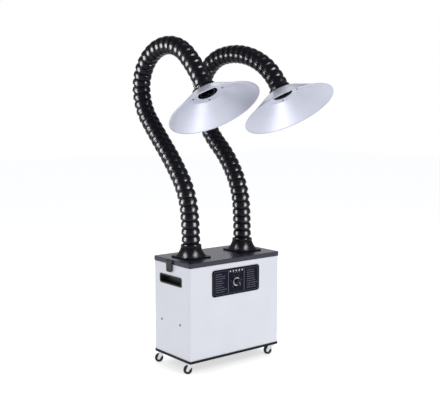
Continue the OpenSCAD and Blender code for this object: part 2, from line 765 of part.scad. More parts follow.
// Latch tab: a barrel on the pin, a flat tongue with a round end, and a pad that lies at the wall
module latch() color(black_plastic) translate([-latch_x, side_fit_y, latch_z]) difference() {
    tongue = latch_h - barrel_r;
    end_r = 8;
    union() {
        rotate([90, 0, 0]) cylinder(r = barrel_r, h = latch_w, center = true);
        translate([latch_t / 2, 0, 0]) rotate([0, -90, 0]) linear_extrude(latch_t) {
            translate([-tongue + end_r, -latch_w / 2]) square([tongue - end_r, latch_w]);
            translate([-tongue, -latch_w / 2 + end_r]) square([tongue, latch_w - 2 * end_r]);
            for (s = [-1, 1]) translate([-tongue + end_r, s * (latch_w / 2 - end_r)]) circle(end_r);
        }
        translate([latch_t / 2 + latch_pad / 2, 0, -tongue + 10])
            cube([latch_pad, latch_w - 8, 10], center = true);
    }
    rotate([90, 0, 0]) cylinder(d = latch_pin_d + 2 * run, h = 2 * latch_w, center = true);
    for (k = [0:2]) translate([-latch_t / 2, 0, -tongue + 5 + 4 * k]) rotate([90, 0, 0])
        cylinder(d = 1.6, h = latch_w - 12, center = true);
}

module lid_gasket() color(black_plastic) translate([0, 0, wall_top + soft]) linear_extrude(seal_t)
    difference() {
        rounded(cab_w - 4, cab_d - 4, corner_r);
        rounded(cab_w - 2 * top_flange, cab_d - 2 * top_flange, corner_r);
    }

// Four places round a flange's centre
module foot_screw_places() {
    for (x = [-1, 1], y = [-1, 1])
        translate([x * foot_screw_gap / 2, y * foot_screw_gap / 2, 0]) children();
}
module flange_screws() color(zinc) both_sides() translate([-arm_x, 0, lid_under]) foot_screw_places()
    mirror([0, 0, 1]) screw(lid_t + foot_t - 2);

// Flange of an arm: square foot, trumpet flare and a cup round the first ball
cup_gap = 0.8;
cup_ring = 3;
cup_deep = 20;
ring_band = 8;
ring_step = 1;
foot_r = 9;
flare_margin = 1;
flare_lean = 6;
cup_out = ro + cup_gap + cup_ring;
cup_in = cup_out - ring_step;
module arm_flange() color(black_plastic) translate([0, 0, lid_top]) difference() {
    union() {
        linear_extrude(foot_t) rounded(foot_w, foot_w, foot_r);
        rotate_extrude() difference() {
            union() {
                flare_half();
                translate([0, flange_h - ring_band]) square([cup_out, ring_band - ring_step]);
                square([cup_in, flange_h]);
                translate([cup_in, flange_h - ring_step]) circle(ring_step);
            }
            cup_space();
        }
    }
    translate([0, 0, -cut]) cylinder(r = duct_r, h = flange_h + pitch);
    foot_screw_places() translate([0, 0, -cut]) cylinder(d = screw_d + 2 * run, h = foot_t - 1.5 + cut);
}
// Half section of the leaning wall that runs out into the foot in a hollow curve
module flare_half() difference() {
    wall_h = flange_h - ring_band - foot_t;
    end_x = foot_w / 2 - flare_margin;
    curve_r = (end_x - cup_in - wall_h * tan(flare_lean)) / (1 / cos(flare_lean) - tan(flare_lean));
    meet = [end_x - curve_r * cos(flare_lean), foot_t + curve_r * (1 - sin(flare_lean))];
    polygon([[0, foot_t], [end_x, foot_t], meet, [cup_in, foot_t + wall_h], [0, foot_t + wall_h]]);
    translate([end_x, foot_t + curve_r]) circle(curve_r);
}
// Room round the ball inside the flange's cup
module cup_space() difference() {
    translate([0, flange_h - cup_deep]) square([ro + cup_gap, cup_deep + pitch]);
    translate([0, arm_z - lid_top]) intersection() {
        circle(rb);
        translate([0, -pitch]) square([rb, pitch + mouth]);
    }
}

module arm_flange_left() translate([-arm_x, 0, 0]) arm_flange();
module arm_flange_right() translate([arm_x, 0, 0]) arm_flange();

// Arms

// Half section of one bead about its lower ball centre: socket skirt below, taper, ball above
module bead_half() difference() {
    union() {
        skirt_half();
        polygon([[0, shoulder], [r_shoulder, shoulder], [r_neck, pitch - neck_drop], [0, pitch - neck_drop]]);
        translate([0, pitch]) intersection() {
            circle(rb);
            translate([0, -neck_drop]) square([rb, neck_drop + mouth]);
        }
    }
    socket_half();
    translate([0, -2 * pitch]) square([duct_r, 4 * pitch]);
}
module skirt_half() intersection() {
    circle(ro);
    translate([0, -lip_drop]) square([ro, lip_drop + shoulder]);
}
module socket_half() intersection() {
    circle(rs);
    translate([0, -rs]) square([rs, rs + socket_rise]);
}
module arm_section(x, b, a, k) color(black_plastic)
    for (i = [k * beads_per_section:(k + 1) * beads_per_section - 1])
        at_ball(x, b, a, i) rotate_extrude() bead_half();

// Hood ends

// Collar: a socket on the last ball, a hollow sleeve round the damper's tube and a foot on the hood
module hood_collar() color(black_plastic) difference() {
    rotate_extrude() difference() {
        union() {
            skirt_half();
            polygon([[0, shoulder], [r_shoulder, shoulder], [sleeve_r, sleeve_z], [sleeve_r, collar_len],
                [0, collar_len]]);
            translate([0, collar_len - foot_flange_t]) square([collar_foot_d / 2, foot_flange_t]);
        }
        socket_half();
        translate([0, -pitch]) square([duct_r, 4 * pitch]);
        translate([duct_r + tube_wall, sleeve_z]) square([sleeve_r - duct_r - 2 * tube_wall, collar_len]);
    }
    spindle_rod(spindle_d + 2 * run, -sleeve_r - cut, spindle_end);
    hood_screw_places() translate([0, 0, collar_len - foot_flange_t - cut])
        cylinder(d = screw_d + 2 * run, h = foot_flange_t + 2 * cut);
}
// Round rod along the damper's spindle, between two places along X
module spindle_rod(d, x0, x1) {
    translate([x0, 0, damper_z]) rotate([0, 90, 0]) cylinder(d = d, h = x1 - x0);
}
module hood_screw_places() {
    for (k = [0:3]) rotate([0, 0, 45 + 90 * k]) translate([hood_screw_pcd / 2, 0, 0]) children();
}

// Damper: a disc on a spindle, turned by a bent lever outside the collar. Shown open.
module damper() color(zinc) {
    disc_r = duct_r - 1;
    hub_d = spindle_d + 3;
    lever_x = -sleeve_r - lever_reach;
    translate([0, 0, damper_z]) difference() {
        union() {
            rotate([90, 0, 0]) cylinder(r = disc_r, h = damper_t, center = true);
            rotate([0, 90, 0]) cylinder(d = hub_d, h = 1.8 * disc_r, center = true);
        }
        rotate([0, 90, 0]) cylinder(d = spindle_d + 2 * run, h = 3 * disc_r, center = true);
    }
    spindle_rod(spindle_d, lever_x, spindle_end - run);
    translate([lever_x, 0, damper_z - lever_len]) {
        cylinder(d = spindle_d, h = lever_len + spindle_d / 2);
        sphere(d = spindle_d);
    }
}

// Hood: flat ring, cone and a rolled bead at the rim
module hood() color(aluminium) difference() {
    slope = atan2(hood_deep, hood_r - flat_r);
    thick_r = hood_t / sin(slope);
    z1 = collar_len + hood_deep;
    rotate_extrude() difference() {
        union() {
            translate([0, collar_len]) square([flat_r, hood_t]);
            polygon([[flat_r - thick_r, collar_len], [flat_r, collar_len], [hood_r - hem_r, z1 - hem_r],
                [hood_r - hem_r - thick_r, z1 - hem_r], [flat_r - thick_r, collar_len + hood_t]]);
            translate([hood_r - hem_r, z1 - hem_r]) circle(hem_r);
        }
        square([intake_d / 2, z1]);
    }
    hood_screw_places() translate([0, 0, collar_len - cut]) cylinder(d = screw_hole_d, h = hood_t + 2 * cut);
}
module hood_screws() color(zinc) hood_screw_places() translate([0, 0, collar_len + hood_t])
    screw(hood_t + foot_flange_t - 0.5);

cabinet_shell();
rear_panel();
base_plate();
handle_cups();
control_panel();
control_board();
dial_shaft();
speed_knob();
knob_ring();
power_inlet();
filter_shelf();
main_filter();
middle_filter();
pre_filter();
blower_housing();
blower_motor();
motor_shaft();
blower_impeller();
cabinet_screws();
caster_plates();
for (c = CASTERS) caster_fork(c);
for (c = CASTERS) caster_wheel(c);
top_lid();
lid_gasket();
latch();  // latch_left
mirror([1, 0, 0]) latch();  // latch_right
latch_pins();
arm_flange_left();
arm_flange_right();
flange_screws();
for (k = [1:SECTIONS]) arm_section(-arm_x, left_balls, left_leans, k - 1);
for (k = [1:SECTIONS]) arm_section(arm_x, right_balls, right_leans, k - 1);
at_left_hood() hood_collar();  // hood_collar_left
at_right_hood() hood_collar();  // hood_collar_right
at_left_hood() damper();  // damper_left
at_right_hood() damper();  // damper_right
at_left_hood() hood();  // hood_left
at_right_hood() hood();  // hood_right
at_left_hood() hood_screws();  // hood_screws_left
at_right_hood() hood_screws();  // hood_screws_right
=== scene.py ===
"""Finishes and fine pieces of a two-arm solder fume extractor, laid over its CAD frame, in metres."""

import json
import math
from typing import NamedTuple

import bmesh
import bpy
import numpy as np
from bpy.props import FloatProperty, FloatVectorProperty, IntProperty, PointerProperty
from mathutils import Matrix, Vector, noise

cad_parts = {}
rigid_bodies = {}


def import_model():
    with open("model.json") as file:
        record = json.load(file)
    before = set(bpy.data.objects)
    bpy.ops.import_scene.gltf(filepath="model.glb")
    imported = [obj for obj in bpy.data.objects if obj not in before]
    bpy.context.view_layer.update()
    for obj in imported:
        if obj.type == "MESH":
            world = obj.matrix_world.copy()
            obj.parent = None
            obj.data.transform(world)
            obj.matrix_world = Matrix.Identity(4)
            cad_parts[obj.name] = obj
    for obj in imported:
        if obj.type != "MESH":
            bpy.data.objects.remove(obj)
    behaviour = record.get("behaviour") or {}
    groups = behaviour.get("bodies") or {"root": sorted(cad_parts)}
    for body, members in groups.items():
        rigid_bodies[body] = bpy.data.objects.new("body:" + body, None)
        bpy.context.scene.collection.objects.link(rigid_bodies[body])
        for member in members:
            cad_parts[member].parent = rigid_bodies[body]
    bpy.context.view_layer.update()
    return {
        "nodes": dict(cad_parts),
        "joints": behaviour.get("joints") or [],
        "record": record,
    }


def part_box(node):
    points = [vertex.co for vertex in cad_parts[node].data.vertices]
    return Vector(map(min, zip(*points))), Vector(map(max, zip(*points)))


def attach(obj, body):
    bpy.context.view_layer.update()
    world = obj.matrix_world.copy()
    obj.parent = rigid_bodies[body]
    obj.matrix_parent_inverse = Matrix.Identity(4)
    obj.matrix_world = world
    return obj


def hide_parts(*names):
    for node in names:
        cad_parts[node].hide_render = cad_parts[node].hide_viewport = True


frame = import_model()

bl_info = {
    "name": "Fume Extractor Looks",
    "version": (1, 0, 0),
    "blender": (4, 5, 0),
    "location": "View3D > Sidebar > Fume Extractor",
    "description": "Finishes and fine pieces for a two-arm solder fume extractor",
    "category": "Object",
}

MM = 0.001
SIDES = ("left", "right")
CASTERS = ("front_left", "front_right", "rear_left", "rear_right")
JOINTS = {joint["name"]: joint for joint in frame["joints"]}
PANEL_LOW, PANEL_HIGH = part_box("control_panel")
PANEL_MIDDLE = (PANEL_LOW + PANEL_HIGH) / 2
DIAL = sum(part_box("knob_ring"), Vector()) / 2
KNOB_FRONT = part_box("speed_knob")[0].y


def colour_prop(name, description, default):
    """A colour that the user can set."""
    return FloatVectorProperty(name=name, description=description, subtype="COLOR", size=3,
                               min=0.0, max=1.0, default=default)


def length_prop(name, description, default):
    """A length that the user can set, in metres."""
    return FloatProperty(name=name, description=description, subtype="DISTANCE", min=0.0, default=default)


def power_prop(name, description, default):
    """A lamp's power that the user can set, in watts."""
    return FloatProperty(name=name, description=description, subtype="POWER", min=0.0, default=default)


class ExtractorFinishes(bpy.types.PropertyGroup):
    """Colours of the extractor's materials."""
    white_paint: colour_prop("White paint", "Powder coat of the cabinet's walls", (0.80, 0.815, 0.87))
    black_paint: colour_prop("Black paint", "Textured powder coat of the lid and base", (0.018, 0.018, 0.038))
    black_plastic: colour_prop("Black plastic", "Moulded fittings", (0.016, 0.016, 0.018))
    arm_plastic: colour_prop("Arm plastic", "Glossy beads of the arms", (0.004, 0.004, 0.008))
    aluminium: colour_prop("Aluminium", "Spun sheet of the hoods", (0.56, 0.575, 0.66))
    zinc: colour_prop("Zinc", "Plated steel of screws and casters", (0.66, 0.67, 0.69))
    rubber: colour_prop("Rubber", "Caster wheels", (0.014, 0.014, 0.015))
    paper: colour_prop("Filter paper", "Pleated paper of the filters", (0.80, 0.78, 0.70))
    fleece: colour_prop("Fleece", "Fibre mat of the pre-filter", (0.86, 0.86, 0.84))
    board: colour_prop("Circuit board", "Solder mask of the control board", (0.02, 0.13, 0.06))


class ExtractorPanel(bpy.types.PropertyGroup):
    """Sizes and colours of the printing on the control panel."""
    film: colour_prop("Film", "Field of the printed film", (0.007, 0.0075, 0.019))
    edge: colour_prop("Film edge", "Dark band round the field", (0.003, 0.003, 0.005))
    line: colour_prop("Lines", "Dividers and frame lines", (0.10, 0.105, 0.15))
    marks: colour_prop("Marks", "Rows of small grey marks", (0.12, 0.125, 0.16))
    scale: colour_prop("Scale", "Numbers and ticks round the dial", (0.22, 0.225, 0.27))
    white: colour_prop("White marks", "Row of dots along the top and the dial's pointer", (0.85, 0.86, 0.88))
    band: length_prop("Band", "Width of the dark band round the field", 6 * MM)
    divider_x: length_prop("Dividers", "Distance of the two dividers from the middle", 38 * MM)
    divider_w: length_prop("Divider width", "Width of a divider", 2.4 * MM)
    ink: length_prop("Ink", "Height of the printing above the film", 0.12 * MM)
    scale_r: length_prop("Scale radius", "Inner radius of the dial's scale", 18.5 * MM)
    numeral_h: length_prop("Numerals", "Height of the dial's numerals", 4.2 * MM)
    steps: IntProperty(name="Steps", description="Steps on the dial's scale", min=2, default=10)


class ExtractorSoft(bpy.types.PropertyGroup):
    """Sizes of the soft pieces."""
    mat_edge: length_prop("Mat edge", "Rounding of the fleece mat's edges", 6 * MM)
    mat_wave: length_prop("Mat wave", "Height of the fleece mat's waves", 1.6 * MM)
    mat_cell: length_prop("Mat cell", "Spacing of the fleece mat's mesh", 4 * MM)
    seal_w: length_prop("Seal width", "Width of the lid's foam strip", 10 * MM)


class ExtractorFlare(bpy.types.PropertyGroup):
    """Sizes of the skirts round the arms' flanges."""
    foot_t: length_prop("Foot", "Thickness of a flange's square foot", 5 * MM)
    ring_h: length_prop("Ring", "Height of the ring round a flange's cup", 8 * MM)
    wall_r: length_prop("Wall radius", "Radius of a flange just under its ring", 38.2 * MM)
    wall_t: length_prop("Wall", "Thickness of the skirt under the ring", 0.8 * MM)
    margin: length_prop("Margin", "Rim of the foot that the skirt leaves bare", 0.8 * MM)
    bend: length_prop("Bend", "Height over which the skirt draws in", 25 * MM)
    sink: length_prop("Sink", "Depth of the skirt's edge in the foot", 0.2 * MM)


class ExtractorStage(bpy.types.PropertyGroup):
    """Camera and light."""
    azimuth: FloatProperty(name="Azimuth", description="Camera's turn about the object, from the front",
                           subtype="ANGLE", default=math.radians(-38.55))
    elevation: FloatProperty(name="Elevation", description="Camera's height angle",
                             subtype="ANGLE", default=math.radians(6.44))
    distance: length_prop("Distance", "Camera's distance from what it looks at", 3.0163)
    target_side: length_prop("Target offset", "Sideways offset of what the camera looks at", 0.0106)
    target_z: length_prop("Target height", "Height of what the camera looks at", 0.6147)
    lens: FloatProperty(name="Lens", description="Focal length for a 36 mm wide picture, in millimetres",
                        subtype="DISTANCE_CAMERA", min=1.0, default=65.06)
    floor: colour_prop("Floor", "Pale floor", (0.90, 0.90, 0.91))
    surround: FloatProperty(name="Surround", description="Strength of the light from all round",
                            min=0.0, default=0.41)
    glow: FloatProperty(name="Floor glow", description="Strength of the floor's own light",
                        min=0.0, default=0.63)
    key: power_prop("Softboxes", "Power of a softbox on the whole object", 14.0)
    strip: power_prop("Arm lights", "Power of each light that the arms mirror", 300.0)
    flange: power_prop("Flange lights", "Power of each light that the flanges mirror", 110.0)
    sheen: power_prop("Hood light", "Power of the light that the hoods mirror", 5.0)
    gleam: power_prop("Lid light", "Power of the light that the lid mirrors", 1.4)
    fill: power_prop("Fill light", "Power of the light on the shaded left hood", 8.0)


GROUPS = {
    "extractor_finishes": ExtractorFinishes,
    "extractor_panel": ExtractorPanel,
    "extractor_soft": ExtractorSoft,
    "extractor_flare": ExtractorFlare,
    "extractor_stage": ExtractorStage,
}


# Shader building

class Value:
    """A shader output that takes part in Python sums. Each step adds a Math node."""

    def __init__(self, finish, socket):
        self.finish = finish
        self.socket = socket

    def sum(self, operation, *terms):
        """Adds the Math node of one step."""
        return self.finish.add("ShaderNodeMath", {"operation": operation}, dict(enumerate(terms)))

    def __add__(self, other):
        return self.sum("ADD", self, other)

    def __radd__(self, other):
        return self.sum("ADD", other, self)

    def __sub__(self, other):
        return self.sum("SUBTRACT", self, other)

    def __rsub__(self, other):
        return self.sum("SUBTRACT", other, self)

    def __mul__(self, other):
        return self.sum("MULTIPLY", self, other)

    def __rmul__(self, other):
        return self.sum("MULTIPLY", other, self)

    def __lt__(self, other):
        return self.sum("LESS_THAN", self, other)

    def __gt__(self, other):
        return self.sum("GREATER_THAN", self, other)

    def __abs__(self):
        return self.sum("ABSOLUTE", self)


class Finish:
    """A node tree under construction."""

    def __init__(self, tree):
        self.tree = tree
        self.tree.nodes.clear()

    def add(self, kind, settings=None, inputs=None, output=0):
        """Adds a node: its settings first, then the value or link of each named or numbered socket."""
        node = self.tree.nodes.new(kind)
        for key, value in (settings or {}).items():
            setattr(node, key, value)
        for key, value in (inputs or {}).items():
            self.feed(self.find(node.inputs, key), value)
        return Value(self, self.find(node.outputs, output)) if node.outputs else None

    @staticmethod
    def find(sockets, key):
        """The socket with that number, identifier or name."""
        if isinstance(key, int):
            return sockets[key]
        return next(socket for socket in sockets if key in (socket.identifier, socket.name))

    def feed(self, socket, value):
        """Links a value to a socket, or sets a plain number or colour on it."""
        if isinstance(value, Value):
            self.tree.links.new(value.socket, socket)
        elif socket.type == "RGBA" and len(value) == 3:
            socket.default_value = (*value, 1.0)
        else:
            socket.default_value = value

    def place(self):
        """The point on the surface, in the CAD frame."""
        return self.add("ShaderNodeTexCoord", output="Object")

    def axes(self, place):
        """A point's three coordinates."""
        split = self.add("ShaderNodeSeparateXYZ", inputs={0: place})
        return [Value(self, socket) for socket in split.socket.node.outputs]

    def vector(self, operation, *terms, output=0):
        """A step of vector maths."""
        return self.add("ShaderNodeVectorMath", {"operation": operation}, dict(enumerate(terms)), output)

    def grain(self, place, size, detail=2.0, roughness=0.5):
        """Noise whose lumps are about that size, in metres."""
        inputs = {"Vector": place, "Scale": 1.0 / size, "Detail": detail, "Roughness": roughness}
        return self.add("ShaderNodeTexNoise", inputs=inputs)

    def cells(self, place, per_metre, output=0, **settings):
        """A pattern of cells, that many to the metre."""
        return self.add("ShaderNodeTexVoronoi", settings, {"Vector": place, "Scale": per_metre}, output)

    def from_axis(self, centre, axis):
        """A point measured from an axis: the point itself, how far along it is, and how far out."""
        place = self.vector("SUBTRACT", self.place(), tuple(centre))
        along = self.vector("DOT_PRODUCT", place, tuple(axis), output="Value")
        foot = self.add("ShaderNodeVectorMath", {"operation": "SCALE"}, {0: tuple(axis), "Scale": along})
        return place, along, self.vector("LENGTH", self.vector("SUBTRACT", place, foot), output="Value")

    def mix(self, factor, low, high):
        """Colour between two colours."""
        inputs = {"Factor_Float": factor, "A_Color": low, "B_Color": high}
        return self.add("ShaderNodeMix", {"data_type": "RGBA"}, inputs, output="Result_Color")

    def mottle(self, noise_value, colour, low, high):
        """A colour that goes from a darker to a lighter shade of itself with a noise."""
        return self.mix(noise_value, tint(colour, low), tint(colour, high))

    @staticmethod
    def vary(middle, spread, noise_value):
        """A number that strays to both sides of its middle with a noise."""
        return middle + spread * (noise_value - 0.5)

    def bump(self, height, depth):
        """Normal of a surface that stands that high where height is 1."""
        return self.add("ShaderNodeBump", inputs={"Strength": 1.0, "Distance": depth, "Height": height})

    def shade(self, inputs):
        """Closes the tree with one Principled shader."""
        shader = self.add("ShaderNodeBsdfPrincipled", inputs=inputs)
        self.add("ShaderNodeOutputMaterial", inputs={"Surface": shader})


def new_finish(name):
    """A new material and the finish that builds it."""
    material = bpy.data.materials.new(name)
    material.use_nodes = True
    return material, Finish(material.node_tree)


def tint(colour, factor):
    """A colour made lighter or darker."""
    return tuple(min(1.0, channel * factor) for channel in colour)


# Materials

def painted_metal(name, colour, peel, depth, rough, speckle=0.06, specular=0.5):
    """Powder coat: an orange-peel skin with a little variation of colour and gloss."""
    material, f = new_finish(name)
    place = f.place()
    skin = f.grain(place, peel, detail=3.0)
    cloud = f.grain(place, 120 * MM, detail=1.0)
    f.shade({
        "Base Color": f.mottle(cloud, colour, 1.0 - speckle, 1.0 + speckle / 2),
        "Roughness": f.vary(f.vary(rough, 0.12, skin), 0.08, cloud),
        "Specular IOR Level": specular,
        "Normal": f.bump(skin, depth),
    })
    return material


def moulded_plastic(name, colour, grain, depth, rough, specular=0.5):
    """Moulded plastic with a fine grained skin."""
    material, f = new_finish(name)
    place = f.place()
    skin = f.grain(place, grain, detail=2.0)
    cloud = f.grain(place, 30 * MM, detail=2.0)
    f.shade({
        "Base Color": f.mottle(cloud, colour, 0.85, 1.25),
        "Roughness": f.vary(rough, 0.14, cloud),
        "Specular IOR Level": specular,
        "Normal": f.bump(skin, depth),
    })
    return material


def plated_steel(name, colour, rough):
    """Bright zinc plate: soft spangle and fine scratches."""
    material, f = new_finish(name)
    place = f.place()
    spangle = f.add("ShaderNodeRGBToBW", inputs={0: f.cells(place, 600.0, output="Color")})
    scratch = f.grain(f.vector("MULTIPLY", place, (1.0, 1.0, 18.0)), 2 * MM, detail=3.0)
    f.shade({
        "Base Color": f.mottle(spangle, colour, 0.88, 1.06),
        "Metallic": 1.0,
        "Roughness": f.vary(rough, 0.14, scratch) + 0.08 * spangle,
        "Normal": f.bump(scratch, 0.02 * MM),
    })
    return material


def spun_aluminium(name, colour, centre, axis):
    """Satin sheet with the fine rings that spinning leaves round its axis."""
    material, f = new_finish(name)
    place, along, radius = f.from_axis(centre, axis)
    ring_place = f.add("ShaderNodeCombineXYZ", inputs={0: radius, 1: along * 0.2})
    rings = f.grain(ring_place, 1.1 * MM, detail=4.0, roughness=0.65)
    bands = f.grain(ring_place, 14 * MM, detail=1.0)
    cloud = f.grain(place, 50 * MM, detail=2.0)
    f.shade({
        "Base Color": f.mottle(bands, colour, 0.95, 1.03),
        "Metallic": 0.35,
        "Roughness": f.vary(f.vary(0.40, 0.12, rings), 0.08, cloud),
        "Normal": f.bump(rings, 0.012 * MM),
    })
    return material


def damper_steel(name, colour, centre, axis, reach):
    """Plated lever on a disc painted nearly black inside the duct: painted shade of the duct's inside."""
    material, f = new_finish(name)
    place, _, radius = f.from_axis(centre, axis)
    scratch = f.grain(place, 2 * MM, detail=3.0)
    f.shade({
        # Painted shade: inside the duct's radius the disc is painted nearly black, and the lever outside
        # keeps the plated colour.
        "Base Color": f.mix(radius > reach, tint(colour, 0.02), colour),
        "Metallic": 1.0,
        "Roughness": f.vary(0.34, 0.16, scratch),
        "Normal": f.bump(scratch, 0.02 * MM),
    })
    return material


def glossy_beads(name, colour):
    """Polished black moulding with slight sink marks and handling haze."""
    material, f = new_finish(name)
    place = f.place()
    sink = f.grain(place, 22 * MM, detail=1.0)
    haze = f.grain(place, 6 * MM, detail=4.0)
    f.shade({
        "Base Color": f.mottle(haze, colour, 0.8, 1.4),
        "Roughness": f.vary(0.25, 0.10, haze),
        "Specular IOR Level": 0.16,
        "Normal": f.bump(sink, 0.04 * MM),
    })
    return material


def rubber(name, colour):
    """Matt rubber with dust in its pores."""
    material, f = new_finish(name)
    place = f.place()
    pores = f.grain(place, 0.5 * MM, detail=3.0)
    dust = f.grain(place, 10 * MM, detail=3.0)
    f.shade({
        "Base Color": f.mottle(dust * dust, colour, 1.0, 2.4),
        "Roughness": f.vary(0.62, 0.2, dust),
        "Normal": f.bump(pores, 0.05 * MM),
    })
    return material


def printed_film(name, film, edge, band):
    """Panel film: a dark band round a lighter field, with a faintly grained skin."""
    material, f = new_finish(name)
    place = f.place()
    x, _, z = f.axes(place)
    half = (PANEL_HIGH - PANEL_LOW) / 2
    inside = (abs(x - PANEL_MIDDLE.x) < half.x - band) * (abs(z - PANEL_MIDDLE.z) < half.z - band)
    skin = f.grain(place, 0.35 * MM, detail=2.0)
    cloud = f.grain(place, 50 * MM, detail=2.0)
    f.shade({
        "Base Color": f.mix(inside, edge, f.mottle(cloud, film, 0.85, 1.2)),
        "Roughness": f.vary(0.42, 0.1, cloud),
        "Specular IOR Level": 0.07,
        "Normal": f.bump(skin, 0.01 * MM),
    })
    return material


def ink(name, colour):
    """Screen print."""
    material, f = new_finish(name)
    cloud = f.grain(f.place(), 1.5 * MM, detail=2.0)
    f.shade({
        "Base Color": f.mottle(cloud, colour, 0.88, 1.06),
        "Roughness": f.vary(0.5, 0.1, cloud),
    })
    return material


def fibre(name, colour, size, depth):
    """Felted fibres: crossing streaks with soft shadows between them."""
    material, f = new_finish(name)
    place = f.place()
    one, two = (f.grain(f.vector("MULTIPLY", place, stretch), size * 3, detail=4.0, roughness=0.7)
                for stretch in ((1.0, 6.0, 1.0), (6.0, 1.0, 1.0)))
    fibres = one * two * 2.0
    f.shade({
        "Base Color": f.mottle(fibres, colour, 0.78, 1.1),
        "Roughness": f.vary(0.85, 0.1, one),
        "Sheen Weight": 0.25,
        "Normal": f.bump(fibres, depth),
    })
    return material


def foam(name, colour):
    """Closed-cell foam."""
    material, f = new_finish(name)
    place = f.place()
    cells = f.cells(place, 1400.0)
    cloud = f.grain(place, 20 * MM, detail=2.0)
    f.shade({
        "Base Color": f.mottle(cells, colour, 0.7, 1.6),
        "Roughness": f.vary(0.8, 0.12, cloud),
        "Normal": f.bump(cells, 0.15 * MM),
    })
    return material


def circuit_board(name, colour):
    """Solder mask over a pattern of copper tracks."""
    material, f = new_finish(name)
    place = f.place()
    track = f.cells(place, 160.0, distance="MANHATTAN") < 0.32
    mask = f.grain(place, 10 * MM, detail=2.0)
    f.shade({
        "Base Color": f.mottle(track, colour, 0.8, 1.7),
        "Roughness": f.vary(0.3, 0.15, mask),
        "Normal": f.bump(track, 0.05 * MM),
    })
    return material


# Mesh helpers

def coat_nodes(material, *nodes):
    """Gives CAD nodes a material."""
    for node in nodes:
        mesh = frame["nodes"][node].data
        mesh.materials.clear()
        mesh.materials.append(material)


def body_of(node):
    """Name of the body that a CAD node rides on."""
    bodies = frame["record"]["behaviour"]["bodies"]
    return next(body for body, nodes in bodies.items() if node in nodes)


def make_piece(name, bm, material, body):
    """A new piece from a finished bmesh, riding on a body."""
    bmesh.ops.recalc_face_normals(bm, faces=bm.faces)
    mesh = bpy.data.meshes.new(name)
    bm.to_mesh(mesh)
    bm.free()
    mesh.materials.append(material)
    piece = bpy.data.objects.new(name, mesh)
    bpy.context.scene.collection.objects.link(piece)
    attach(piece, body)
    return piece


def rounded_outline(width, height, radius, steps=6):
    """Points of a rectangle with round corners, centred, anticlockwise."""
    points = []
    for k, (sx, sy) in enumerate(((1, 1), (-1, 1), (-1, -1), (1, -1))):
        for i in range(steps + 1):
            angle = math.pi / 2 * (k + i / steps)
            points.append((sx * (width / 2 - radius) + radius * math.cos(angle),
                           sy * (height / 2 - radius) + radius * math.sin(angle)))
    return points


def round_outline(radius, steps=24):
    """Points of a circle."""
    return [(radius * math.cos(math.tau * i / steps), radius * math.sin(math.tau * i / steps))
            for i in range(steps)]


def soft_square(half, steps, power=2.5):
    """Points of a square whose corners draw in, from the same angles as a circle's."""
    points = []
    for u, v in round_outline(1.0, steps):
        radius = half / (abs(u) ** power + abs(v) ** power) ** (1.0 / power)
        points.append((radius * u, radius * v))
    return points


def build_wall(bm, one, two):
    """Faces between two loops with as many points."""
    for i in range(len(one)):
        j = (i + 1) % len(one)
        bm.faces.new((one[i], one[j], two[j], two[i]))


def bridge_loops(bm, loops):
    """Walls between each loop and the next, and between the last and the first."""
    for k, loop in enumerate(loops):
        build_wall(bm, loop, loops[(k + 1) % len(loops)])


def turned(points, angle):
    """Points turned about their origin."""
    c, s = math.cos(angle), math.sin(angle)
    return [(c * u - s * v, s * u + c * v) for u, v in points]


class PanelPrint:
    """Thin printed shapes on the panel's face, in the panel's x and z."""
    END_ROUND = 0.45   # a bar's corner radius, as a share of its thinner side
    CAP_SHARE = 0.7    # a numeral's height, as a share of the font's size

    def __init__(self, thick):
        self.bm = bmesh.new()
        self.thick = thick
        self.face_y = PANEL_LOW.y

    def layer(self, points, x, z, lift):
        """Points of an outline, that far in front of the panel's face."""
        return [self.bm.verts.new((x + u, self.face_y - lift, z + v)) for u, v in points]

    def shape(self, points, x, z):
        """A filled outline."""
        low, high = self.layer(points, x, z, 0.0), self.layer(points, x, z, self.thick)
        self.bm.faces.new(low)
        self.bm.faces.new(high)
        build_wall(self.bm, low, high)

    def ring(self, outer, inner, x, z):
        """The band between two outlines with as many points."""
        edges = ((outer, 0.0), (outer, self.thick), (inner, self.thick), (inner, 0.0))
        bridge_loops(self.bm, [self.layer(points, x, z, lift) for points, lift in edges])

    def bar(self, width, height, x, z, angle=0.0):
        """A small bar with round ends."""
        radius = self.END_ROUND * min(width, height)
        self.shape(turned(rounded_outline(width, height, radius, steps=3), angle), x, z)

    def numeral(self, text, height, x, z):
        """A number in the plain built-in font."""
        curve = bpy.data.curves.new("numeral", "FONT")
        curve.body = text
        curve.size = height / self.CAP_SHARE
        curve.align_x = "CENTER"
        curve.align_y = "CENTER"
        curve.extrude = self.thick / 2
        curve.resolution_u = 3
        holder = bpy.data.objects.new("numeral", curve)
        mesh = bpy.data.meshes.new_from_object(holder)
        mesh.transform(Matrix.Translation((x, self.face_y - self.thick / 2, z))
                       @ Matrix.Rotation(math.pi / 2, 4, "X"))
        self.bm.from_mesh(mesh)
        bpy.data.meshes.remove(mesh)
        bpy.data.objects.remove(holder)
        bpy.data.curves.remove(curve)


def islands(node):
    """Points of each separate solid of a CAD node. Points that agree to a micrometre count as one."""
    mesh = frame["nodes"][node].data
    points = np.array([vertex.co for vertex in mesh.vertices])
    keys = {}
    group = [keys.setdefault(tuple(np.round(point, 6)), len(keys)) for point in points]
    parent = list(range(len(keys)))

    def root(i):
        while parent[i] != i:
            i = parent[i]
        return i

    for edge in mesh.edges:
        a, b = (root(group[i]) for i in edge.vertices)
        parent[a] = b
    found = {}
    for point, i in zip(points, group):
        found.setdefault(root(i), []).append(point)
    return [np.array(solid) for solid in found.values()]


